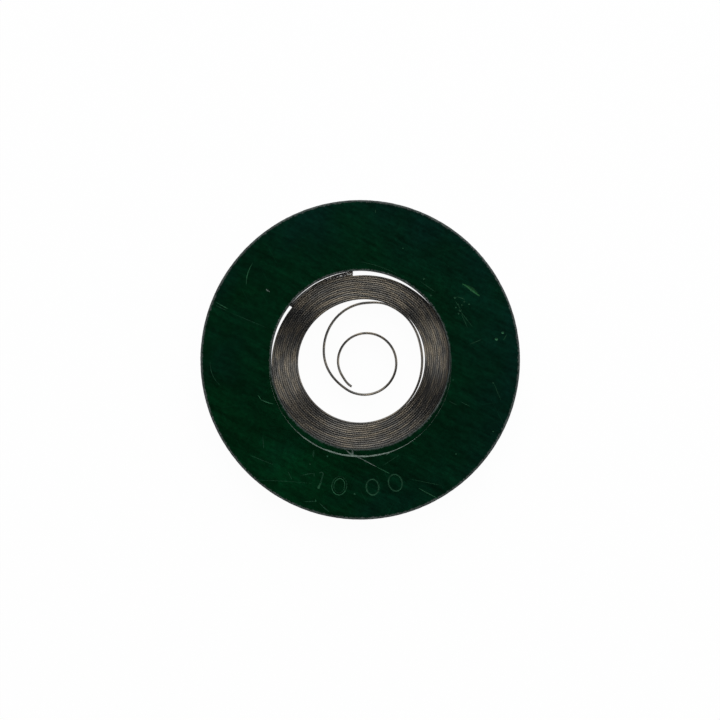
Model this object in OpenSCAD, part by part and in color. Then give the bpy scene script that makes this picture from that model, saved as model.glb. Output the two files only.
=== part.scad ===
// Mainspring of a watch barrel, wound into the retaining ring that it is sold and fitted from.
// Millimetres. The ring lies flat on z = 0 with its coloured face up, and its axis is the Z axis.
// Clock angles are in degrees, clockwise from +Y, as seen from above.

/* [Retaining ring] */
// Outside diameter of the ring
ring_outer_d = 17.9; // [15:0.1:24]
// Diameter of the hole that the spring is wound into
ring_bore_d = 10; // [9.2:0.1:12]
// Thickness of the ring
ring_thickness = 1.5; // [1.3:0.05:2.4]
// Chamfer round both edges of the rim
rim_chamfer = 0.09; // [0.03:0.01:0.3]
// Chamfer of the hole in the lower face, where the spring leaves
bore_chamfer = 0.06; // [0.02:0.01:0.2]
// Radius of the shallow recess beside the hole, over that of the hole
relief_margin = 0.11; // [0.05:0.01:0.3]
// Distance that the recess lies off the axis
relief_offset = 0.34; // [0.2:0.01:0.6]
// Depth of the recess
relief_depth = 0.12; // [0.05:0.01:0.3]
// Clock angle towards which the recess lies off the axis
relief_clock = 180; // [0:5:355]

/* [Spring strip] */
// Thickness of the strip
strip_thickness = 0.1; // [0.07:0.005:0.115]
// Height of the strip
strip_height = 1.2; // [0.8:0.05:1.3]
// Gap left between wound turns
turn_gap = 0.013; // [0.012:0.001:0.02]
// Gap between the outermost turn and the wall of the hole
seat_gap = 0.015; // [0.01:0.005:0.08]
// Number of turns that lie against each other
coil_turns = 12.55; // [8:0.05:13]

/* [Arbor eye] */
// Inner diameter of the eye at the end of the strip
eye_d = 2.86; // [2.2:0.02:3.2]
// Growth of the eye's radius in one turn
eye_growth = 0.37; // [0.2:0.01:0.5]
// Distance of the eye's centre off the ring's axis
eye_offset = 0.33; // [0:0.01:0.4]
// Number of turns in the eye
eye_turns = 1.02; // [0.9:0.01:1.2]
// Part of a turn in which the strip crosses from the eye to the coil
crossing_turns = 0.46; // [0.35:0.01:0.6]
// Distance at which the strip runs along inside the coil before it lies against it
standoff = 0.1; // [0.08:0.005:0.3]
// Length of the hook hole near the inner end
hook_hole_length = 0.9; // [0.5:0.05:1.2]
// Height of the hook hole
hook_hole_height = 0.45; // [0.3:0.05:0.6]

/* [End tongue] */
// Thickness of the tongue at its middle
tongue_thickness = 0.135; // [0.1:0.005:0.2]
// Angle that the tongue covers along the wall
tongue_span = 47.5; // [35:0.5:60]
// Gap between the ends of the tongue and the wall
tongue_gap = 0.018; // [0.015:0.001:0.03]
// Distance that the middle of the tongue stands further off the wall than its ends
tongue_bow = 0.035; // [0.02:0.005:0.08]
// Clock angle of the outer end
outer_end_clock = -5; // [-180:1:180]

/* [Hidden] */

$fn = 96;
// Angle between neighbouring points along the strip
strip_step = 8;
// Half the angle over which the strip's direction is taken
slope_step = 0.5;
// How far a cutting solid runs past what it cuts
overcut = 1;

wall_r = ring_bore_d / 2;
pitch = strip_thickness + turn_gap;
half_strip = strip_thickness / 2;

// The turns are pushed in round the tongue, over these angles before and after it
push_before = 93;
push_after = 95;
// Each turn steps over the one inside it between these angles from the tongue
step_before = 81;
step_after = 62;
// Angle from the deepest point of the push to the outer end of the strip
end_past_push = 16;

// The foot of the tongue wraps the end of the strip
foot_length = 0.12;
foot_angle = foot_length / wall_r * 180 / PI;
strip_end_clock = outer_end_clock - foot_angle;
// Angle by which the tongue runs past its foot
foot_lap = 0.3;

// The inner end, counted in turns from where the strip lies against the coil
laydown_turns = 0.37;
laydown_start = 0.165;
total_turns = coil_turns + eye_turns + crossing_turns + laydown_turns;
strip_steps = round(total_turns * 360 / strip_step);
strip_angle = strip_steps * strip_step;
eye_r = eye_d / 2 + half_strip;
// Direction of the eye's centre from the inner end, and when it starts to move to the axis
eye_direction = -95;
eye_centre_hold = 0.39;
// The inner end is bent outwards a little, over this angle
end_flare = 0.085;
end_flare_angle = 32;

// The outermost turn's centre line where it lies along the wall
pressed_r = wall_r - seat_gap - half_strip;
// Depth of the push, which leaves room for the tongue and a gap inside it
tongue_clearance = 0.015;
tongue_room = tongue_thickness + tongue_bow + tongue_gap + tongue_clearance;
deepest_growth = smooth(step_before / (step_before + step_after));
push_depth = tongue_room - seat_gap + pitch * deepest_growth;

// The tongue's outer face bows off the wall between its ends, and its inner face follows the strip
tongue_end_r = wall_r - tongue_gap;
tongue_angle = tongue_span + foot_lap;
tongue_steps = 12;

// Distance from the inner end to the middle of the hook hole, along the strip
hook_hole_inset = hook_hole_length;
// Depth of the cut that makes the hook hole, which takes in the strip's bend
hook_hole_cut = 4 * strip_thickness;

function on_clock(r, clock) = [r * sin(clock), r * cos(clock)];
function within(x) = min(max(x, 0), 1);
function smooth(x) = let (s = within(x)) s * s * (3 - 2 * s);
function hump(x) = (1 + cos(180 * within(abs(x)))) / 2;
function unit(v) = v / norm(v);

// Winding angle along the strip: 0 at the inner end, strip_angle at the outer end
function clock_at(a) = strip_end_clock - strip_angle + a;

// Radius of the wound coil: its turns are pushed in round the tongue and step out by one pitch there
function coil_r(a) =
    let (past = a - strip_angle + end_past_push)
    let (lap = round(past / 360))
    let (local = past - 360 * lap)
    let (push = hump(local / (local < 0 ? push_before : push_after)))
    let (growth = lap + smooth((local + step_before) / (step_before + step_after)))
    pressed_r + pitch * growth - push_depth * push;

// Radius and centre of the strip's curve, which go over from the eye to the coil
function crossing(a, hold) =
    smooth((a / 360 - eye_turns - crossing_turns * hold) / (crossing_turns * (1 - hold)));
function laid_down(a) =
    let (start = eye_turns + crossing_turns + laydown_start)
    smooth((a / 360 - start) / (laydown_turns - laydown_start));
function strip_r(a) =
    let (w = crossing(a, 0))
    let (inside = eye_r + eye_growth * a / 360 + end_flare * hump(a / end_flare_angle))
    let (outside = coil_r(a) - standoff * (1 - laid_down(a)))
    inside * (1 - w) + outside * w;
function strip_centre(a) =
    on_clock(eye_offset, clock_at(0) + eye_direction) * (1 - crossing(a, eye_centre_hold));
function strip_point(a) = strip_centre(a) + on_clock(strip_r(a), clock_at(a));
function strip_direction(a) = unit(strip_point(a + slope_step) - strip_point(a - slope_step));
function outward(a) = let (d = strip_direction(a)) [-d[1], d[0]];
function strip_side(a, side) = strip_point(a) + outward(a) * half_strip * side;

// Sides of the tongue, from 0 at its tip to 1 at its root
function tongue_at(t) = strip_angle + foot_angle + foot_lap - tongue_angle * (1 - t);
function tongue_outer(t) =
    on_clock(tongue_end_r - tongue_bow * (1 - pow(2 * t - 1, 2)), clock_at(tongue_at(t)));
function tongue_inner(t) =
    let (a = tongue_at(t))
    strip_side(a, 1) + outward(a) * tongue_clearance;

module retaining_ring() {
    outer_r = ring_outer_d / 2;
    relief_r = wall_r + relief_margin;
    relief_place = on_clock(relief_offset, relief_clock);
    color([0.0, 0.12, 0.06])
    difference() {
        rotate_extrude()
            polygon([
                [wall_r + bore_chamfer, 0],
                [outer_r - rim_chamfer, 0],
                [outer_r, rim_chamfer],
                [outer_r, ring_thickness - rim_chamfer],
                [outer_r - rim_chamfer, ring_thickness],
                [wall_r, ring_thickness],
                [wall_r, bore_chamfer]
            ]);
        translate([relief_place[0], relief_place[1], ring_thickness - relief_depth])
            cylinder(r = relief_r, h = relief_depth + overcut);
    }
}

module hook_hole() {
    middle = hook_hole_inset / (eye_r + half_strip) * 180 / PI;
    place = strip_point(middle);
    heading = strip_direction(middle);
    flat = (hook_hole_length - hook_hole_height) / 2;
    translate([place[0], place[1], strip_height / 2])
        rotate([90, 0, atan2(heading[1], heading[0])])
            linear_extrude(height = hook_hole_cut, center = true) {
                square([2 * flat, hook_hole_height], center = true);
                for (end = [-flat, flat]) translate([end, 0]) circle(d = hook_hole_height);
            }
}

module mainspring() {
    angles = [for (i = [0 : strip_steps]) i * strip_step];
    outer_side = [for (a = angles) strip_side(a, 1)];
    inner_side = [for (i = [strip_steps : -1 : 0]) strip_side(angles[i], -1)];
    color([0.42, 0.41, 0.38])
    difference() {
        linear_extrude(height = strip_height) polygon(concat(outer_side, inner_side));
        hook_hole();
    }
}

module end_tongue() {
    end_in = strip_side(strip_angle, -1);
    end_out = strip_side(strip_angle, 1);
    heading = strip_direction(strip_angle);
    // The foot reaches from the inner side of the strip to the middle of the tongue's thickness
    root = on_clock(tongue_end_r - tongue_thickness / 2, strip_end_clock);
    reach = (root - end_out) * outward(strip_angle);
    foot_out = end_out + outward(strip_angle) * reach;
    outer_side = [for (i = [0 : tongue_steps]) tongue_outer(i / tongue_steps)];
    inner_side = [for (i = [tongue_steps : -1 : 0]) tongue_inner(i / tongue_steps)];
    color([0.36, 0.35, 0.34])
    union() {
        linear_extrude(height = strip_height) polygon(concat(outer_side, inner_side));
        linear_extrude(height = strip_height)
            polygon([end_in, end_in + heading * foot_length, foot_out + heading * foot_length, foot_out]);
    }
}

retaining_ring();
mainspring();
end_tongue();
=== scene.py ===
# Looks of a watch mainspring that is wound into its retaining ring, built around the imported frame.
# The frame is in metres. Sizes here are in millimetres, and meshes are scaled when they are finished.
# Clock angles are in degrees, clockwise from +Y, as seen from above.
import math
import random

import bmesh
import bpy
from mathutils import Matrix, Vector, noise


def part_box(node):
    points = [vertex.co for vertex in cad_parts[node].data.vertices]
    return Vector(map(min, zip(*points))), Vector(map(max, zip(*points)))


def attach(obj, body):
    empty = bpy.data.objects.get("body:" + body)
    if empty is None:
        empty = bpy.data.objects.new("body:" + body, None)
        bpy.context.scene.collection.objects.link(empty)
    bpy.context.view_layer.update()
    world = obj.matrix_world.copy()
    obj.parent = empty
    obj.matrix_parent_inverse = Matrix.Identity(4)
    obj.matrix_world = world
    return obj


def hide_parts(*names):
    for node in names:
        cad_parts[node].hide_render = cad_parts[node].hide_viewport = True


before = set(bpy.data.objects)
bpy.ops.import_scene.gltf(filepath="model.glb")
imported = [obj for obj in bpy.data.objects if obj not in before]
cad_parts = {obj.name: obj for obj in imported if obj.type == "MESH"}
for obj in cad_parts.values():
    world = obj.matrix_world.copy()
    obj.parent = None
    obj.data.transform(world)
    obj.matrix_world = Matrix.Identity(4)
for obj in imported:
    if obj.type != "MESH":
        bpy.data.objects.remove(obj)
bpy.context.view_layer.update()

MM = 0.001
dice = random.Random(11)

# Sizes that the frame gives
ring_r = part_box("retaining_ring")[1].x / MM
ring_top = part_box("retaining_ring")[1].z / MM
strip_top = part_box("mainspring")[1].z / MM

# Sizes of the ring that the frame's boxes don't give
bore_r = 5.0
rim_chamfer = 0.09
bore_chamfer = 0.06
relief_margin = 0.11
relief_r = bore_r + relief_margin
relief_offset = 0.34
relief_depth = 0.12
recess_z = ring_top - relief_depth

# Sizes of the wound strip
strip_thickness = 0.1
half_strip = strip_thickness / 2
turn_gap = 0.013
pitch = strip_thickness + turn_gap
seat_gap = 0.015
coil_turns = 12.55
hook_hole_length = 0.9
hook_hole_height = 0.45

# The eye at the strip's inner end, and when its centre starts to move to the axis
eye_d = 2.86
eye_r = eye_d / 2 + half_strip
eye_growth = 0.37
eye_offset = 0.33
eye_turns = 1.02
eye_direction = -95
eye_centre_hold = 0.39
end_flare = 0.085
end_flare_angle = 32

# The free turn crosses to the coil, and later places on it are parts of a turn after the crossing
crossing_turns = 0.46
standoff = 0.1
laydown_turns = 0.37
laydown_start = 0.165
laydown_end = 0.345
# It touches the coil between these parts of a turn, before it stands off
touch_from = -0.048
touch_full = 0.013
touch_until = 0.055
touch_free = 0.16

# Angles over which the turns are pushed in round the tongue and step over each other
push_before = 93
push_after = 95
step_before = 81
step_after = 62
end_past_push = 16
# Share of the push under which the outermost turn comes back to the wall sooner than the others
outer_knee = 0.35

# Sizes of the tongue at the strip's outer end
tongue_thickness = 0.135
tongue_gap = 0.018
tongue_bow = 0.035
tongue_clearance = 0.015
outer_end_clock = -5
foot_length = 0.12
foot_lap = 0.3
tongue_span = 47.5
tongue_angle = tongue_span + foot_lap


def on_clock(r, clock):
    return Vector((r * math.sin(math.radians(clock)), r * math.cos(math.radians(clock))))


def within(x):
    return min(max(x, 0.0), 1.0)


def smooth(x):
    s = within(x)
    return s * s * (3 - 2 * s)


def hump(x):
    return (1 + math.cos(math.pi * within(abs(x)))) / 2


def at_height(point, z):
    return Vector((point.x, point.y, z))


def round_noise(clock, grain, layer):
    """Smooth noise from -1 to 1 that closes round the ring, with about 6 x grain waves in a turn."""
    place = on_clock(grain, clock)
    return noise.noise(Vector((place.x, place.y, layer)))


# Curve of the strip, from 0 degrees of winding at its inner end to strip_angle at its outer end

strip_end_clock = outer_end_clock - math.degrees(foot_length / bore_r)
total_turns = coil_turns + eye_turns + crossing_turns + laydown_turns
cad_step = 8
strip_angle = round(total_turns * 360 / cad_step) * cad_step
pressed_r = bore_r - seat_gap - half_strip
deepest_growth = smooth(step_before / (step_before + step_after))
tongue_room = tongue_thickness + tongue_bow + tongue_gap + tongue_clearance
push_depth = tongue_room - seat_gap + pitch * deepest_growth


def clock_at(a):
    return strip_end_clock - strip_angle + a


def coil_r(a):
    """Radius of the coil, whose turns are pushed in round the tongue and step out by one pitch there."""
    past = a - strip_angle + end_past_push
    lap = round(past / 360)
    local = past - 360 * lap
    depth = hump(local / (push_before if local < 0 else push_after))
    outermost = within(1 - (strip_angle - a) / 360 / coil_turns)
    push = depth * (1 - outermost + outermost * smooth(depth / outer_knee))
    growth = lap + smooth((local + step_before) / (step_before + step_after))
    return pressed_r + pitch * growth - push_depth * push


def crossing(a, hold):
    """How far the strip has crossed from the eye to the coil, from 0 to 1, after holding back at first."""
    return smooth((a / 360 - eye_turns - crossing_turns * hold) / (crossing_turns * (1 - hold)))


def laid_down(a):
    """How far the free turn has come to lie on the coil for good, from 0 to 1."""
    start = eye_turns + crossing_turns + laydown_start
    return smooth((a / 360 - start) / (laydown_end - laydown_start))


def stands_off(a):
    """Share of the standoff at one place. The free turn touches the coil once before it lies down."""
    turn = a / 360 - eye_turns - crossing_turns
    meets = smooth((turn - touch_from) / (touch_full - touch_from))
    leaves = smooth((turn - touch_until) / (touch_free - touch_until))
    return (1 - laid_down(a)) * (1 - meets * (1 - leaves))


def strip_r(a):
    w = crossing(a, 0)
    inside = eye_r + eye_growth * a / 360 + end_flare * hump(a / end_flare_angle)
    outside = coil_r(a) - standoff * stands_off(a)
    return inside * (1 - w) + outside * w


def strip_point(a):
    centre = on_clock(eye_offset, clock_at(0) + eye_direction) * (1 - crossing(a, eye_centre_hold))
    return centre + on_clock(strip_r(a), clock_at(a))


def strip_heading(a):
    slope_step = 0.5
    return (strip_point(a + slope_step) - strip_point(a - slope_step)).normalized()


def left_of(heading):
    return Vector((-heading.y, heading.x))


# Mesh helpers

def loft(bm, rings, closed=False, materials=None):
    """Joins rings of points with faces. materials gives a material index for each side of a ring."""
    rows = [[bm.verts.new(p) for p in ring] for ring in rings]
    if closed:
        rows.append(rows[0])
    for near, far in zip(rows, rows[1:]):
        for i in range(len(near)):
            j = (i + 1) % len(near)
            face = bm.faces.new((near[i], near[j], far[j], far[i]))
            face.material_index = materials[i] if materials else 0
    if not closed:
        bm.faces.new(reversed(rows[0]))
        bm.faces.new(rows[-1])


def new_object(name, bm, materials):
    bmesh.ops.recalc_face_normals(bm, faces=bm.faces)
    mesh = bpy.data.meshes.new(name)
    bm.to_mesh(mesh)
    bm.free()
    for material in materials:
        mesh.materials.append(material)
    made = bpy.data.objects.new(name, mesh)
    bpy.context.scene.collection.objects.link(made)
    return made


def apply_modifiers(piece):
    graph = bpy.context.evaluated_depsgraph_get()
    mesh = bpy.data.meshes.new_from_object(piece.evaluated_get(graph))
    piece.modifiers.clear()
    piece.data = mesh


def boolean(piece, operation, others):
    """Cuts other objects out of a piece, or joins them to it, and deletes them."""
    bunch = bpy.data.collections.new(piece.name + "_others")
    bpy.context.scene.collection.children.link(bunch)
    for other in others:
        bunch.objects.link(other)
    modifier = piece.modifiers.new("boolean", "BOOLEAN")
    modifier.operation = operation
    modifier.operand_type = "COLLECTION"
    modifier.collection = bunch
    modifier.solver = "EXACT"
    modifier.material_mode = "TRANSFER"
    apply_modifiers(piece)
    for other in others:
        bpy.data.objects.remove(other)
    bpy.data.collections.remove(bunch)


def finish_piece(piece, cad_node, sharp_angle):
    """Scales a piece to metres, sets its shading, attaches it to the root body, and hides the frame's part
    that it stands for.
    """
    mesh = piece.data
    mesh.transform(Matrix.Scale(MM, 4))
    mesh.shade_smooth()
    mesh.set_sharp_from_angle(angle=math.radians(sharp_angle))
    mesh.update()
    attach(piece, "root")
    if cad_node:
        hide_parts(cad_node)


# Material helpers

def node(tree, kind, inputs=None, **settings):
    """Adds a shader node. An input is set to a number or colour, or linked if it is given a socket."""
    made = tree.nodes.new("ShaderNode" + kind)
    for name, value in settings.items():
        setattr(made, name, value)
    for name, value in (inputs or {}).items():
        if isinstance(value, bpy.types.NodeSocket):
            tree.links.new(value, made.inputs[name])
        else:
            made.inputs[name].default_value = value
    return made


def new_material(name):
    material = bpy.data.materials.new(name)
    material.use_nodes = True
    return material, material.node_tree, material.node_tree.nodes["Principled BSDF"]


def millimetres(tree):
    metres = node(tree, "TexCoord").outputs["Object"]
    return node(tree, "VectorMath", {0: metres, "Scale": 1 / MM}, operation="SCALE").outputs[0]


def stretched(tree, place, turn, scale):
    """Coordinates that are turned about Z by an angle in degrees, then scaled."""
    turned = node(tree, "Mapping", {"Vector": place, "Rotation": (0, 0, math.radians(turn))})
    return node(tree, "VectorMath", {0: turned.outputs[0], 1: scale}, operation="MULTIPLY").outputs[0]


def cloud(tree, place, scale, detail=2.0, roughness=0.5):
    inputs = {"Vector": place, "Scale": scale, "Detail": detail, "Roughness": roughness}
    return node(tree, "TexNoise", inputs).outputs[0]


def calc(tree, operation, a, b):
    return node(tree, "Math", {0: a, 1: b}, operation=operation).outputs[0]


def product(tree, first, *others):
    for other in others:
        first = calc(tree, "MULTIPLY", first, other)
    return first


def step(tree, value, start, end, low=0.0, high=1.0):
    """A smooth step of value, from low at start to high at end."""
    inputs = {"Value": value, "From Min": start, "From Max": end, "To Min": low, "To Max": high}
    return node(tree, "MapRange", inputs, interpolation_type="SMOOTHSTEP").outputs[0]


def spread(tree, value, start, end, low, high):
    inputs = {"Value": value, "From Min": start, "From Max": end, "To Min": low, "To Max": high}
    return node(tree, "MapRange", inputs).outputs[0]


def mix_colours(tree, factor, first, second, blend_type="MIX"):
    made = node(tree, "Mix", {0: factor, 6: first, 7: second}, data_type="RGBA", blend_type=blend_type)
    return made.outputs[2]


def mix_numbers(tree, factor, first, second):
    return node(tree, "Mix", {0: factor, 2: first, 3: second}, data_type="FLOAT").outputs[0]


def colour(r, g, b):
    return (r, g, b, 1.0)


def bump(tree, surface, height, strength, distance):
    made = node(tree, "Bump", {"Height": height, "Strength": strength, "Distance": distance * MM})
    tree.links.new(made.outputs[0], surface.inputs["Normal"])


def radius_of(tree, place):
    flat = node(tree, "VectorMath", {0: place, 1: (1, 1, 0)}, operation="MULTIPLY").outputs[0]
    return node(tree, "VectorMath", {0: flat}, operation="LENGTH").outputs["Value"]


# Materials

# Angle of the sheet's brushing
brush_turn = 27
bare_grey = colour(0.30, 0.31, 0.31)
worn_grey = colour(0.075, 0.088, 0.083)


def lacquer():
    """Dark green lacquer on brushed sheet, with hairlines, specks and edges worn to the metal."""
    material, tree, surface = new_material("green_lacquer")
    leaf_green = colour(0.0003, 0.0168, 0.0048)
    teal_green = colour(0.0011, 0.0153, 0.0099)
    scuffed_green = colour(0.008, 0.055, 0.026)
    # The green is made up to 1.4 times brighter within 3 mm of this place, towards the lower left
    brighter_green_place = (-4.0, -6.2, ring_top)
    place = millimetres(tree)
    radius = radius_of(tree, place)
    bands = cloud(tree, stretched(tree, place, brush_turn, (0.16, 1.5, 1)), 1.0, 3.0, 0.6)
    brush = cloud(tree, stretched(tree, place, brush_turn, (0.9, 9, 1)), 1.0, 3.0, 0.6)
    dashes = cloud(tree, stretched(tree, place, brush_turn, (1.5, 5, 1)), 1.0, 2.0, 0.5)
    mottle = cloud(tree, place, 5.0, 4.0, 0.65)
    tint = cloud(tree, place, 0.35, 2.0)

    to_upper_right = node(tree, "SeparateXYZ", {0: stretched(tree, place, -45, (1, 1, 1))}).outputs[0]
    to_teal = spread(tree, to_upper_right, -ring_r, ring_r, 0.0, 0.6)
    to_teal = calc(tree, "ADD", to_teal, spread(tree, tint, 0.3, 0.7, -0.25, 0.25))
    to_teal = calc(tree, "MULTIPLY", to_teal, spread(tree, radius, bore_r, ring_r, 0.35, 1.65))
    green = mix_colours(tree, to_teal, leaf_green, teal_green)
    off_brighter_green = node(tree, "VectorMath", {0: place, 1: brighter_green_place}, operation="DISTANCE").outputs["Value"]
    shade = product(
        tree,
        spread(tree, bands, 0.3, 0.7, 0.72, 1.26),
        spread(tree, brush, 0.25, 0.75, 0.8, 1.2),
        spread(tree, dashes, 0.3, 0.7, 0.76, 1.2),
        spread(tree, mottle, 0.25, 0.75, 0.64, 1.34),
        step(tree, off_brighter_green, 3.0, 0.5, 1.0, 1.4),
    )
    green = mix_colours(tree, 1.0, green, shade, "MULTIPLY")

    lines = None
    for turn, reach in ((62, 0.74), (-8, 0.76), (118, 0.78)):
        hair = cloud(tree, stretched(tree, place, turn, (0.35, 16, 1)), 1.0, 1.0)
        hair = step(tree, hair, reach, reach + 0.06)
        lines = hair if lines is None else calc(tree, "MAXIMUM", lines, hair)
    specks = step(tree, cloud(tree, place, 9.0, 1.0), 0.77, 0.83)
    light = calc(tree, "MAXIMUM", calc(tree, "MULTIPLY", lines, 0.3), calc(tree, "MULTIPLY", specks, 0.5))
    green = mix_colours(tree, light, green, scuffed_green)

    ragged = spread(tree, cloud(tree, place, 9.0, 3.0, 0.6), 0.3, 0.7, -0.05, 0.05)
    reach = calc(tree, "ADD", radius, ragged)
    worn_rim = step(tree, reach, ring_r - 0.15, ring_r - 0.06)
    worn_bore = step(tree, reach, bore_r + 0.12, bore_r + 0.02)
    worn = calc(tree, "MAXIMUM", worn_rim, worn_bore)
    blotched = spread(tree, mottle, 0.3, 0.7, 0.55, 1.4)
    metal = mix_colours(tree, 1.0, worn_grey, blotched, "MULTIPLY")

    tree.links.new(mix_colours(tree, worn, green, metal), surface.inputs["Base Color"])
    surface.inputs["Metallic"].default_value = 0.3
    gloss = spread(tree, brush, 0.25, 0.75, 0.4, 0.5)
    tree.links.new(mix_numbers(tree, worn, gloss, 0.5), surface.inputs["Roughness"])
    surface.inputs["Specular IOR Level"].default_value = 0.02
    bump(tree, surface, calc(tree, "ADD", brush, calc(tree, "MULTIPLY", mottle, 0.5)), 0.2, 0.01)
    return material


def worn_edge():
    """Lacquered edge that handling has worn to a dull and blotched metal."""
    material, tree, surface = new_material("worn_edge")
    place = millimetres(tree)
    blotches = cloud(tree, place, 5.0, 4.0, 0.65)
    shade = spread(tree, blotches, 0.3, 0.7, 0.2, 0.6)
    tree.links.new(mix_colours(tree, 1.0, worn_grey, shade, "MULTIPLY"), surface.inputs["Base Color"])
    tree.links.new(spread(tree, blotches, 0.3, 0.7, 0.65, 0.5), surface.inputs["Roughness"])
    surface.inputs["Metallic"].default_value = 0.3
    surface.inputs["Specular IOR Level"].default_value = 0.05
    bump(tree, surface, blotches, 0.3, 0.02)
    return material


def scored(name, main, metallic):
    """Lacquer that a tool has scored, thin enough for the metal to shine through. On the walls of the
    numerals' strokes and on the recess's bevel, its lighter colour is a painted highlight of their edges.
    """
    material, tree, surface = new_material(name)
    place = millimetres(tree)
    grain = cloud(tree, place, 7.0, 3.0, 0.6)
    shade = spread(tree, grain, 0.3, 0.7, 0.5, 1.4)
    tree.links.new(mix_colours(tree, 1.0, main, shade, "MULTIPLY"), surface.inputs["Base Color"])
    tree.links.new(spread(tree, grain, 0.3, 0.7, 0.6, 0.45), surface.inputs["Roughness"])
    surface.inputs["Metallic"].default_value = metallic
    surface.inputs["Specular IOR Level"].default_value = 0.1
    return material


def bare_sheet():
    """Bare punched sheet metal: a burnished band over a torn one on its edges, and a brushed lower face."""
    material, tree, surface = new_material("bare_sheet_metal")
    place = millimetres(tree)
    height = node(tree, "SeparateXYZ", {0: place}).outputs[2]
    tear_line = calc(tree, "ADD", height, spread(tree, cloud(tree, place, 2.5), 0.3, 0.7, -0.12, 0.12))
    torn = step(tree, tear_line, 0.95, 0.8)
    upright = cloud(tree, stretched(tree, place, 0, (9, 9, 0.5)), 1.0, 3.0, 0.6)
    pits = cloud(tree, place, 14.0, 3.0, 0.6)
    brush = cloud(tree, stretched(tree, place, brush_turn, (0.7, 11, 1)), 1.0, 3.0, 0.6)
    grain = mix_numbers(tree, torn, upright, pits)
    shade = product(
        tree,
        spread(tree, grain, 0.3, 0.7, 0.7, 1.25),
        spread(tree, brush, 0.3, 0.7, 0.8, 1.15),
    )
    tree.links.new(mix_colours(tree, 1.0, bare_grey, shade, "MULTIPLY"), surface.inputs["Base Color"])
    tree.links.new(mix_numbers(tree, torn, 0.3, 0.48), surface.inputs["Roughness"])
    surface.inputs["Metallic"].default_value = 1.0
    bump(tree, surface, calc(tree, "ADD", grain, brush), 0.35, 0.012)
    return material


def spring_steel():
    """Satin spring steel, warm on some turns and blue grey on others, with fine lines along the strip."""
    material, tree, surface = new_material("spring_steel")
    cool_steel = colour(0.128, 0.125, 0.117)
    warm_steel = colour(0.182, 0.157, 0.12)
    place = millimetres(tree)
    radius = radius_of(tree, place)
    turn_place = node(tree, "CombineXYZ", {0: calc(tree, "MULTIPLY", radius, 8.0)}).outputs[0]
    turn_place = node(tree, "VectorMath", {0: turn_place, 1: place}, operation="ADD").outputs[0]
    by_turn = cloud(tree, turn_place, 1.0, 2.0)
    dashes = cloud(tree, turn_place, 2.6, 2.0)
    patches = cloud(tree, place, 0.9, 3.0, 0.6)
    drawn = cloud(tree, stretched(tree, place, 0, (0.6, 0.6, 30)), 1.0, 3.0, 0.6)
    warmth = step(tree, calc(tree, "ADD", by_turn, calc(tree, "MULTIPLY", patches, 0.5)), 0.6, 0.95)
    metal = mix_colours(tree, warmth, cool_steel, warm_steel)
    shade = product(
        tree,
        spread(tree, drawn, 0.3, 0.7, 0.85, 1.12),
        spread(tree, by_turn, 0.3, 0.7, 0.6, 1.36),
        spread(tree, dashes, 0.3, 0.7, 0.8, 1.15),
    )
    tree.links.new(mix_colours(tree, 1.0, metal, shade, "MULTIPLY"), surface.inputs["Base Color"])
    tree.links.new(spread(tree, patches, 0.3, 0.7, 0.34, 0.44), surface.inputs["Roughness"])
    surface.inputs["Metallic"].default_value = 1.0
    surface.inputs["Anisotropic"].default_value = 0.9
    surface.inputs["Anisotropic Rotation"].default_value = 0.25
    bump(tree, surface, drawn, 0.15, 0.004)
    return material


def weld_metal():
    """Dark scale of a weld, with bright specks where it is rubbed."""
    material, tree, surface = new_material("weld_scale")
    place = millimetres(tree)
    grain = cloud(tree, place, 8.0, 3.0, 0.6)
    rubbed = step(tree, grain, 0.5, 0.6)
    dark = colour(0.035, 0.033, 0.034)
    bright = colour(0.5, 0.5, 0.48)
    tree.links.new(mix_colours(tree, rubbed, dark, bright), surface.inputs["Base Color"])
    tree.links.new(mix_numbers(tree, rubbed, 0.55, 0.25), surface.inputs["Roughness"])
    surface.inputs["Metallic"].default_value = 0.9
    bump(tree, surface, grain, 0.5, 0.02)
    return material


def pale_floor():
    """Matt white floor. What sees it directly or in a reflection finds it white, with a soft shadow."""
    material = bpy.data.materials.new("pale_floor")
    material.use_nodes = True
    tree = material.node_tree
    tree.nodes.clear()
    white = colour(0.92, 0.92, 0.92)
    clear_white = 0.97
    path = node(tree, "LightPath").outputs
    seen = calc(tree, "MAXIMUM", path["Is Camera Ray"], path["Is Glossy Ray"])
    seen = calc(tree, "MAXIMUM", seen, path["Is Transmission Ray"])
    matt = node(tree, "BsdfDiffuse", {"Color": white}).outputs[0]
    glow = node(tree, "Emission", {"Color": colour(1, 1, 1), "Strength": 1.0}).outputs[0]
    share = calc(tree, "MULTIPLY", seen, clear_white)
    mixed = node(tree, "MixShader", {0: share, 1: matt, 2: glow}).outputs[0]
    node(tree, "OutputMaterial", {"Surface": mixed})
    return material


lacquered = lacquer()
sheet_metal = bare_sheet()
edge_metal = worn_edge()
scored_green_and_highlight = scored("scored_lacquer_and_highlight", colour(0.022, 0.095, 0.045), 0.3)
rubbed_green_and_highlight = scored("rubbed_lacquer_and_highlight", colour(0.011, 0.052, 0.025), 0.3)
scored_grey_and_highlight = scored("scored_to_metal_and_highlight", colour(0.12, 0.16, 0.135), 0.4)
chipped_green = scored("chipped_lacquer", colour(0.013, 0.075, 0.026), 0.3)
steel = spring_steel()
weld = weld_metal()


# Retaining ring

ring_segments = 720
edge_arc_points = 5
bore_edge_round = 0.03
rim_wear = 0.014
torn_depth = 0.012
tear_height = 0.9
tear_slope = 0.08
# Width of the narrow faces that keep the upper face's shading level beside its rounded edges
face_margin = 0.03


def arc_points(centre_r, centre_z, r, start, end, count):
    angles = [start + (end - start) * i / (count - 1) for i in range(count)]
    return [
        (centre_r + r * math.cos(math.radians(a)), centre_z + r * math.sin(math.radians(a)))
        for a in angles
    ]


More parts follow.
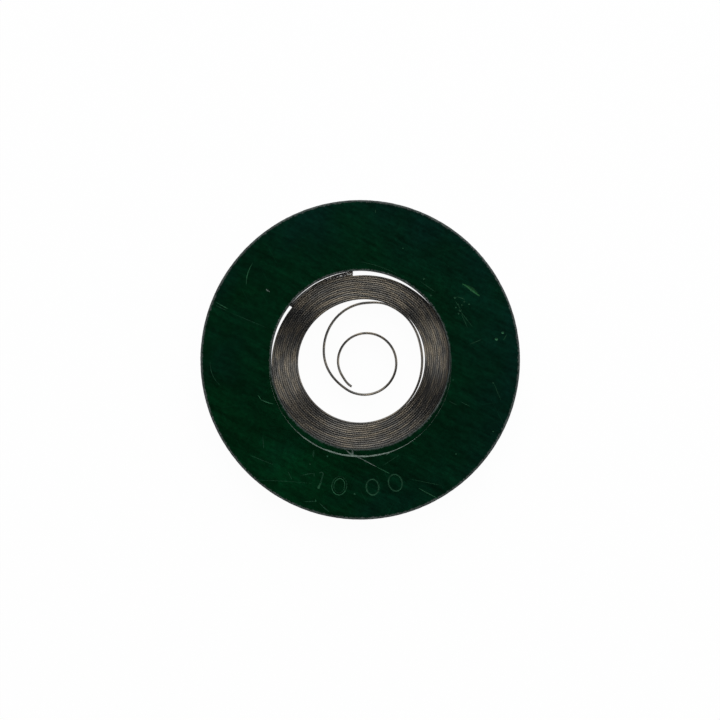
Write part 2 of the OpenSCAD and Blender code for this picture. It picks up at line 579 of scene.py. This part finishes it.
def ring_profile(clock):
    """Section of the ring at a clock angle as (radius, height), from its hole over its lower face and rim."""
    small_nicks = max(0.0, round_noise(clock, grain=85, layer=0.3))
    wide_nicks = max(0.0, round_noise(clock, grain=30, layer=2.7))
    rim_r = ring_r - rim_wear * (small_nicks + 0.5 * wide_nicks)
    torn_r = rim_r - torn_depth * (1 + round_noise(clock, grain=70, layer=5.1))
    top_round = rim_chamfer * (0.6 + 0.3 * round_noise(clock, grain=45, layer=8.2))
    edge = bore_edge_round * (1 + 0.6 * round_noise(clock, grain=40, layer=4.4))
    lower = arc_points(torn_r - rim_chamfer, rim_chamfer, rim_chamfer, -90, 0, edge_arc_points)
    upper = arc_points(rim_r - top_round, ring_top - top_round, top_round, 0, 90, edge_arc_points)
    inner = arc_points(bore_r + edge, ring_top - edge, edge, 90, 180, edge_arc_points)
    middle = (bore_r + ring_r) / 2
    face = (rim_r - top_round - face_margin, middle, bore_r + edge + face_margin)
    return (
        [(bore_r + bore_chamfer, 0), (middle, 0)]
        + lower
        + [(torn_r, tear_height - tear_slope), (rim_r, tear_height)]
        + upper
        + [(r, ring_top) for r in face]
        + inner
        + [(bore_r, bore_chamfer)]
    )


def ring_blank():
    bm = bmesh.new()
    rings = []
    for i in range(ring_segments):
        clock = 360 * i / ring_segments
        rings.append([at_height(on_clock(r, clock), z) for r, z in ring_profile(clock)])
    loft(bm, rings, closed=True)
    blank = new_object("ring_body", bm, [lacquered, sheet_metal, edge_metal])
    face_z = ring_top - 0.1 * rim_chamfer
    edge_z = ring_top - 1.5 * rim_chamfer
    for face in blank.data.polygons:
        if face.center.z > face_z:
            face.material_index = 0
        elif face.center.z > edge_z:
            face.material_index = 2
        else:
            face.material_index = 1
    return blank


def relief_cutter():
    """Cutter of the shallow recess beside the hole, with a bevel that is widest opposite the tongue. The
    bevel takes a pale grey that is a painted highlight of the recess's edge.
    """
    least_bevel = 0.008
    bevel_widening = 0.08
    widest_bevel_clock = 185
    bevel_widening_angle = 55
    slow_wave = 0.035
    quick_wave = 0.008
    rise = 0.05
    cut_width = 1
    count = ring_segments // 2
    centre = Vector((0, -relief_offset))
    bm = bmesh.new()
    rings = []
    for i in range(count):
        clock = 360 * i / count
        bevel = least_bevel + bevel_widening * hump((clock - widest_bevel_clock) / bevel_widening_angle)
        bevel *= 1 + 0.5 * round_noise(clock, grain=12, layer=9.4)
        wave = slow_wave * round_noise(clock, grain=1.6, layer=3.3)
        wave += quick_wave * round_noise(clock, grain=25, layer=6.1)
        r = relief_r + wave - bevel
        section = [
            (r - cut_width, recess_z),
            (r, recess_z),
            (r, ring_top - bevel),
            (r + bevel + rise, ring_top + rise),
            (r - cut_width, ring_top + rise),
        ]
        rings.append([at_height(centre + on_clock(p, clock), z) for p, z in section])
    # The bevel face takes the pale grey of a painted highlight
    loft(bm, rings, closed=True, materials=[0, 0, 1, 0, 0])
    return new_object("relief_cutter", bm, [lacquered, scored_grey_and_highlight])


# Share of a groove's width that its flat floor takes, when it is sharp, and above which it is broad
sharp_share = 0.1
broad_share = 0.3


def groove(points, widths, depth, flat_share, material, closed=False, level=ring_top):
    """Cutter of a groove along points in a face at a level. Only a broad floor keeps its lacquer."""
    count = len(points)
    rings = []
    for i, point in enumerate(points):
        before = points[(i - 1) % count] if closed or i > 0 else point
        after = points[(i + 1) % count] if closed or i < count - 1 else point
        side = left_of((after - before).normalized())
        half = widths[i] / 2
        deep = depth * widths[i] / max(widths)
        floor_half = half * flat_share
        top_half = 2 * half - floor_half
        ring = [
            at_height(point + side * top_half, level + deep),
            at_height(point + side * floor_half, level - deep),
            at_height(point - side * floor_half, level - deep),
            at_height(point - side * top_half, level + deep),
        ]
        rings.append(ring)
    bm = bmesh.new()
    # The walls take the given material. On the numerals its lighter green is a painted highlight of the
    # strokes' edges.
    loft(bm, rings, closed=closed, materials=[1, 0, 1, 0])
    return new_object("groove", bm, [lacquered if flat_share > broad_share else material, material])


numeral_r = 7.145
one_clock = 197.8
one_height = 0.88
one_stroke = 0.07
flag_stroke = 0.06
point_clock = 182.35
point_r = 7.5
point_size = 0.06
nought_points = 40
# Clock angle, width, height, stroke width and flat share of each nought
noughts = (
    (189.4, 0.87, 1.07, 0.15, 0.5),
    (174.4, 0.78, 0.96, 0.08, sharp_share),
    (164.0, 0.83, 1.02, 0.075, sharp_share),
)
# Depth of a stroke as a share of its width
stroke_depth = 0.3


def numeral_place(clock):
    """Middle of a numeral on its arc, and its own right and up directions, with its top to the hole."""
    up = -on_clock(1, clock)
    right = Vector((up.y, -up.x))
    return on_clock(numeral_r, clock), right, up


def stroke(points, width, flat_share, material, closed=False):
    return groove(points, [width] * len(points), stroke_depth * width, flat_share, material, closed)


def numeral_cutters():
    middle, right, up = numeral_place(one_clock)
    top = middle + up * 0.55 * one_height - right * 0.02
    waist = middle - up * 0.1 * one_height
    bottom = middle - up * 0.5 * one_height - right * 0.03
    lower_half = [waist, bottom + up * 0.15, bottom]
    flag = [top - right * 0.22 - up * 0.05, top - right * 0.12 + up * 0.02, top]
    # The strokes' walls are painted a lighter green, as a painted highlight of their edges
    cutters = [
        stroke([top, waist], one_stroke, sharp_share, rubbed_green_and_highlight),
        groove(lower_half, [one_stroke, 0.12, 0.1], 0.04, sharp_share, scored_green_and_highlight),
        stroke(flag, flag_stroke, sharp_share, rubbed_green_and_highlight),
    ]
    for clock, width, height, stroke_width, flat_share in noughts:
        middle, right, up = numeral_place(clock)
        outline = []
        for i in range(nought_points):
            a = 2 * math.pi * i / nought_points
            across = (width - stroke_width) / 2 * math.cos(a)
            along = (height - stroke_width) / 2 * math.sin(a)
            outline.append(middle + right * across + up * along)
        # The nought's walls are painted a lighter green, as a painted highlight of their edges
        material = scored_green_and_highlight if flat_share > broad_share else rubbed_green_and_highlight
        cutters.append(stroke(outline, stroke_width, flat_share, material, closed=True))
    cutters.append(dent(on_clock(point_r, point_clock), point_size))
    return cutters


def dent(point, r, material=None):
    """Cutter of a small round dent: a flattened ball that stands a little over the face."""
    flatness = 0.7
    rise = 0.2 * r
    bm = bmesh.new()
    flat = Matrix.Diagonal((1, 1, flatness, 1))
    bmesh.ops.create_icosphere(bm, subdivisions=2, radius=r, matrix=flat)
    bmesh.ops.translate(bm, vec=at_height(point, ring_top + rise), verts=bm.verts)
    return new_object("dent", bm, [material or rubbed_green_and_highlight])


def scratch(start, end, width, bow=0.0, material=None, level=ring_top):
    """Cutter of a scratch that thins out towards its ends and bows to its left."""
    count = 9
    end_share = 0.25
    depth = 0.4 * width
    floor_share = 0.15
    start = Vector(start)
    end = Vector(end)
    side = left_of((end - start).normalized())
    points = []
    widths = []
    for i in range(count):
        t = i / (count - 1)
        points.append(start.lerp(end, t) + side * bow * 4 * t * (1 - t))
        widths.append(width * (end_share + (1 - end_share) * math.sin(math.pi * t)))
    return groove(points, widths, depth, floor_share, material or scored_green_and_highlight, level=level)


def chip_cutter():
    """Cutter of a wedge-shaped chip, which is widest past its middle."""
    depth = 0.05
    points = [Vector(p) for p in ((5.72, 4.26), (6.00, 4.12), (6.25, 3.95), (6.45, 3.78), (6.70, 3.56))]
    widths = [0.04, 0.12, 0.22, 0.16, 0.03]
    return groove(points, widths, depth, sharp_share, chipped_green)


def scratch_cutters():
    grey = scored_grey_and_highlight
    faint = rubbed_green_and_highlight
    return [
        scratch((-0.80, -5.05), (-0.30, -5.42), 0.09, material=grey, level=recess_z),
        scratch((-0.43, -5.04), (-0.40, -5.42), 0.1, material=grey, level=recess_z),
        scratch((-0.25, -5.38), (0.16, -5.58), 0.06, material=grey),
        scratch((0.05, -5.53), (0.95, -6.00), 0.055, material=grey),
        scratch((0.85, -5.95), (1.64, -6.36), 0.045),
        scratch((1.45, -5.33), (2.79, -4.52), 0.045, bow=0.03, material=grey),
        scratch((1.26, -5.92), (2.17, -5.33), 0.03, material=faint),
        scratch((0.99, -5.08), (0.99, -5.36), 0.04, material=faint),
        scratch((-2.60, -5.05), (-2.63, -5.46), 0.09, material=faint),
        scratch((-3.35, -6.50), (-2.54, -6.35), 0.05, bow=0.04, material=faint),
        scratch((-2.57, -6.33), (-2.58, -6.55), 0.05, material=faint),
        scratch((-3.16, -7.92), (-2.41, -7.92), 0.05, material=faint),
        scratch((-2.49, -7.80), (-2.49, -7.97), 0.05),
        scratch((-2.28, -8.01), (-1.73, -8.51), 0.09, material=faint),
        scratch((3.29, -7.19), (4.41, -7.79), 0.06),
        scratch((2.82, -6.67), (4.60, -7.04), 0.03, material=faint),
        scratch((4.97, -2.30), (5.40, -2.52), 0.05, material=faint),
        scratch((5.62, -2.34), (6.15, -2.60), 0.05, material=faint),
        scratch((-6.01, 5.43), (-6.38, 4.17), 0.05, bow=-0.10),
        scratch((-5.28, 3.96), (-5.06, 3.81), 0.09, material=grey),
        scratch((-8.06, 3.23), (-7.41, 2.86), 0.06),
        scratch((-8.06, 3.05), (-7.50, 2.77), 0.05, material=faint),
        scratch((-7.27, 2.65), (-5.14, 1.76), 0.03, material=faint),
        scratch((-5.73, -1.96), (-5.53, -2.25), 0.05),
        scratch((-5.58, -2.20), (-4.84, -2.47), 0.07, bow=-0.03),
        scratch((-5.45, -4.30), (-5.40, -4.97), 0.05, material=faint),
        scratch((-8.39, -0.04), (-7.83, -1.44), 0.04, bow=-0.18, material=faint),
        scratch((-6.16, -5.34), (-4.88, -5.85), 0.05, material=faint),
        scratch((-5.92, -6.76), (-2.67, -6.93), 0.03, bow=0.06, material=faint),
        scratch((-4.04, -6.23), (-3.82, -6.69), 0.05, material=faint),
        scratch((5.53, 2.84), (6.28, 1.86), 0.05, material=faint),
        scratch((5.66, 2.60), (6.02, 1.79), 0.045, material=faint),
        scratch((5.30, 3.30), (5.62, 2.74), 0.05, bow=0.05, material=faint),
        scratch((5.36, 3.52), (5.86, 3.36), 0.05, bow=0.05, material=faint),
        scratch((6.15, 0.88), (6.80, 1.15), 0.05, material=faint),
        scratch((8.02, 1.10), (8.20, 1.42), 0.05, material=faint),
        scratch((3.38, 4.40), (4.22, 3.79), 0.05, material=faint),
        scratch((7.47, -1.27), (7.87, -2.25), 0.04, material=faint),
        scratch((-0.10, 5.51), (2.06, 4.80), 0.04, bow=0.10, material=faint),
        scratch((0.86, 8.43), (0.86, 8.22), 0.05, material=faint),
    ]


def dent_cutters():
    dull = [
        ((-1.83, -5.38), 0.06),
        ((-2.80, -5.82), 0.05),
        ((5.30, 3.48), 0.07),
        ((5.47, 3.12), 0.05),
        ((5.60, 2.78), 0.09),
        ((5.52, 2.60), 0.06),
        ((5.72, 3.46), 0.05),
        ((5.83, 3.27), 0.06),
        ((5.70, 3.08), 0.05),
        ((5.36, 2.94), 0.05),
        ((6.10, 3.12), 0.05),
        ((3.57, 4.54), 0.06),
        ((3.96, 3.62), 0.07),
        ((2.40, 6.24), 0.04),
        ((7.45, -1.28), 0.05),
        ((7.45, -4.00), 0.05),
        ((5.37, -5.25), 0.05),
        ((5.20, -1.11), 0.05),
    ]
    bright = [
        ((7.98, 1.52), 0.085),
        ((7.63, 1.16), 0.095),
    ]
    cutters = [dent(Vector(place), r) for place, r in dull]
    cutters += [dent(Vector(place), r, scored_green_and_highlight) for place, r in bright]
    return cutters


ring = ring_blank()
marks = numeral_cutters() + scratch_cutters() + [chip_cutter()] + dent_cutters()
boolean(ring, "DIFFERENCE", [relief_cutter()] + marks)
finish_piece(ring, "retaining_ring", 25)


# Wound strip

strip_ring_step = 3
crown = 0.022
crown_points = 9
# Changes of the strip's edges, and the angles over which they come and go
edge_play = 0.02
play_angle = 300
edge_tilt = 0.01
tilt_angle = 90
# Distance that the free turn leans over its height
free_lean = 0.03


def strip_section(a):
    """Section of the strip as (distance outwards, height), with crowned edges, the upper one tilted."""
    drop = edge_play * (0.5 + 0.5 * noise.noise(Vector((a / play_angle, 0.5, 0))))
    lift = edge_play * (0.5 + 0.5 * noise.noise(Vector((a / play_angle, 7.5, 0))))
    tilt = edge_tilt * noise.noise(Vector((a / tilt_angle, 3.5, 0)))
    upper = []
    lower = []
    for i in range(crown_points):
        t = math.pi * i / (crown_points - 1)
        out = half_strip * math.cos(t)
        hollow = crown * (1 - math.sin(t))
        upper.append((out, strip_top - drop - hollow - abs(tilt) + tilt * math.cos(t)))
        lower.append((-out, lift + hollow))
    return upper + lower


def wound_strip():
    count = strip_angle // strip_ring_step
    rings = []
    for i in range(count + 1):
        a = strip_angle * i / count
        middle = strip_point(a)
        out = left_of(strip_heading(a))
        lean = free_lean * stands_off(a)
        section = [(u + lean * (z / strip_top - 0.5), z) for u, z in strip_section(a)]
        rings.append([at_height(middle + out * u, z) for u, z in section])
    bm = bmesh.new()
    loft(bm, rings)
    return new_object("wound_strip", bm, [steel])


def hook_hole_cutter():
    """Cutter of the long hole near the strip's inner end, which takes an arbor's hook."""
    a = math.degrees(hook_hole_length / (eye_r + half_strip))
    middle = strip_point(a)
    along = strip_heading(a)
    out = left_of(along)
    flat = (hook_hole_length - hook_hole_height) / 2
    reach = 2 * strip_thickness
    end_points = 9
    outline = []
    for side in (1, -1):
        for i in range(end_points):
            turn = math.pi * (i / (end_points - 1) - 0.5)
            x = side * (flat + hook_hole_height / 2 * math.cos(turn))
            z = side * hook_hole_height / 2 * math.sin(turn)
            outline.append((x, z + strip_top / 2))
    rings = []
    for depth in (-reach, reach):
        rings.append([at_height(middle + along * x + out * depth, z) for x, z in outline])
    bm = bmesh.new()
    loft(bm, rings)
    return new_object("hook_hole_cutter", bm, [steel])


spring = wound_strip()
boolean(spring, "DIFFERENCE", [hook_hole_cutter()])
finish_piece(spring, "mainspring", 50)


# Tongue and its weld

tongue_end_r = bore_r - tongue_gap
tongue_steps = 48
tongue_corner = 0.03
corner_points = 4
# The foot stays this far inside the tongue's upper and lower edges
foot_inset = 0.002


def rounded_box_section(low, high, bottom, top, corner):
    """Rectangle with rounded corners, as (distance outwards, height), from its upper outer corner."""
    section = []
    corners = (
        (high - corner, top - corner, 0),
        (low + corner, top - corner, 90),
        (low + corner, bottom + corner, 180),
        (high - corner, bottom + corner, 270),
    )
    for r, z, start in corners:
        section += arc_points(r, z, corner, start, start + 90, corner_points)
    return section


def tongue_outer(a, t):
    """Point of the tongue's outer face, which bows off the wall between the tip and the root."""
    return on_clock(tongue_end_r - tongue_bow * (1 - (2 * t - 1) ** 2), clock_at(a))


def tongue_inner(a):
    """Point of the tongue's inner face, which follows the strip."""
    return strip_point(a) + left_of(strip_heading(a)) * (half_strip + tongue_clearance)


def tongue_blade():
    root = strip_angle + outer_end_clock - strip_end_clock + foot_lap
    rings = []
    for i in range(tongue_steps + 1):
        t = i / tongue_steps
        a = root - tongue_angle * (1 - t)
        inner = tongue_inner(a)
        across = tongue_outer(a, t) - inner
        section = rounded_box_section(0, across.length, 0, strip_top, tongue_corner)
        rings.append([at_height(inner + across.normalized() * u, z) for u, z in section])
    bm = bmesh.new()
    loft(bm, rings)
    return new_object("tongue_blade", bm, [steel])


def tongue_foot():
    """Foot of the tongue, which wraps the end of the strip."""
    heading = strip_heading(strip_angle)
    out = left_of(heading)
    end_in = strip_point(strip_angle) - out * half_strip
    root = on_clock(tongue_end_r - tongue_thickness / 2, strip_end_clock)
    reach = (root - end_in).dot(out)
    section = rounded_box_section(0, reach, foot_inset, strip_top - foot_inset, tongue_corner)
    rings = []
    for depth in (0, foot_length):
        rings.append([at_height(end_in + heading * depth + out * r, z) for r, z in section])
    bm = bmesh.new()
    loft(bm, rings)
    return new_object("tongue_foot", bm, [steel])


def weld_crust():
    """Rough crust of the weld between the tongue's root and the last turn, at its upper and lower edges."""
    first_clock = outer_end_clock - 19
    last_clock = outer_end_clock - 0.8
    lumps = 26
    smallest = 0.05
    largest = 0.085
    inner_r = 4.80
    wall_gap = 0.005
    upper_rise = 0.02
    pit_grain = 14
    pit_depth = 0.012
    bm = bmesh.new()
    for edge_z in (strip_top, 0):
        for i in range(lumps):
            clock = first_clock + (last_clock - first_clock) * (i + dice.random()) / lumps
            size = dice.uniform(smallest, largest)
            r = dice.uniform(inner_r, tongue_end_r - size - wall_gap)
            z = edge_z - size + upper_rise if edge_z else size
            place = Matrix.Translation(at_height(on_clock(r, clock), z))
            bmesh.ops.create_icosphere(bm, subdivisions=2, radius=size, matrix=place)
    crust = new_object("tongue_weld", bm, [weld])
    remesh = crust.modifiers.new("remesh", "REMESH")
    remesh.mode = "VOXEL"
    remesh.voxel_size = 0.014
    apply_modifiers(crust)
    for vertex in crust.data.vertices:
        shift = noise.noise(vertex.co * pit_grain) * pit_depth
        vertex.co += vertex.normal * min(shift, 0.0)
    return crust


tongue = tongue_blade()
boolean(tongue, "UNION", [tongue_foot()])
finish_piece(tongue, "end_tongue", 40)
crust = weld_crust()
finish_piece(crust, None, 60)


# Floor, light and camera

def make_floor():
    floor_r = 1200
    floor_drop = 0.01
    bm = bmesh.new()
    bmesh.ops.create_circle(bm, cap_ends=True, segments=96, radius=floor_r * MM)
    floor = new_object("floor", bm, [pale_floor()])
    floor.location.z = -floor_drop * MM


def make_world():
    """A studio that is pale near the horizon and dark overhead."""
    pale = colour(0.9, 0.9, 0.9)
    dark = colour(0.06, 0.064, 0.076)
    pale_below = 4
    dark_above = 16
    world = bpy.data.worlds.new("studio")
    bpy.context.scene.world = world
    world.use_nodes = True
    tree = world.node_tree
    direction = node(tree, "TexCoord").outputs["Generated"]
    upwards = node(tree, "SeparateXYZ", {0: direction}).outputs[2]
    low = math.sin(math.radians(pale_below))
    high = math.sin(math.radians(dark_above))
    shade = mix_colours(tree, step(tree, upwards, low, high), pale, dark)
    tree.links.new(shade, tree.nodes["Background"].inputs["Color"])


def make_lamp(name, clock, width, watts):
    """An upright soft lamp that faces the ring."""
    lamp_distance = 300
    lamp_height = 320
    height_angle = 40
    light = bpy.data.lights.new(name, "AREA")
    light.shape = "RECTANGLE"
    light.size = width * MM
    light.size_y = lamp_height * MM
    light.energy = watts
    lamp = bpy.data.objects.new(name, light)
    level = on_clock(lamp_distance * math.cos(math.radians(height_angle)), clock)
    lamp.location = at_height(level, lamp_distance * math.sin(math.radians(height_angle))) * MM
    lamp.rotation_mode = "QUATERNION"
    lamp.rotation_quaternion = (-lamp.location).to_track_quat("-Z", "Y")
    bpy.context.scene.collection.objects.link(lamp)


def make_camera():
    """Looks straight down on the ring, at the photograph's scale and from over its middle."""
    frame_width = 40.3
    distance = 240
    off_axis = Vector((-0.0095, -0.0101))
    data = bpy.data.cameras.new("camera")
    data.sensor_width = 36
    data.lens = data.sensor_width * distance / frame_width
    data.clip_start = 0.01
    data.clip_end = 5
    camera = bpy.data.objects.new("camera", data)
    camera.location = at_height(off_axis, ring_top + distance) * MM
    bpy.context.scene.collection.objects.link(camera)
    bpy.context.scene.camera = camera


make_floor()
make_world()
make_lamp("north_lamp", 358, 320, 0.9)
make_lamp("east_lamp", 80, 150, 0.37)
make_lamp("west_lamp", 260, 150, 0.14)
make_camera()
bpy.context.scene.view_settings.view_transform = "Standard"
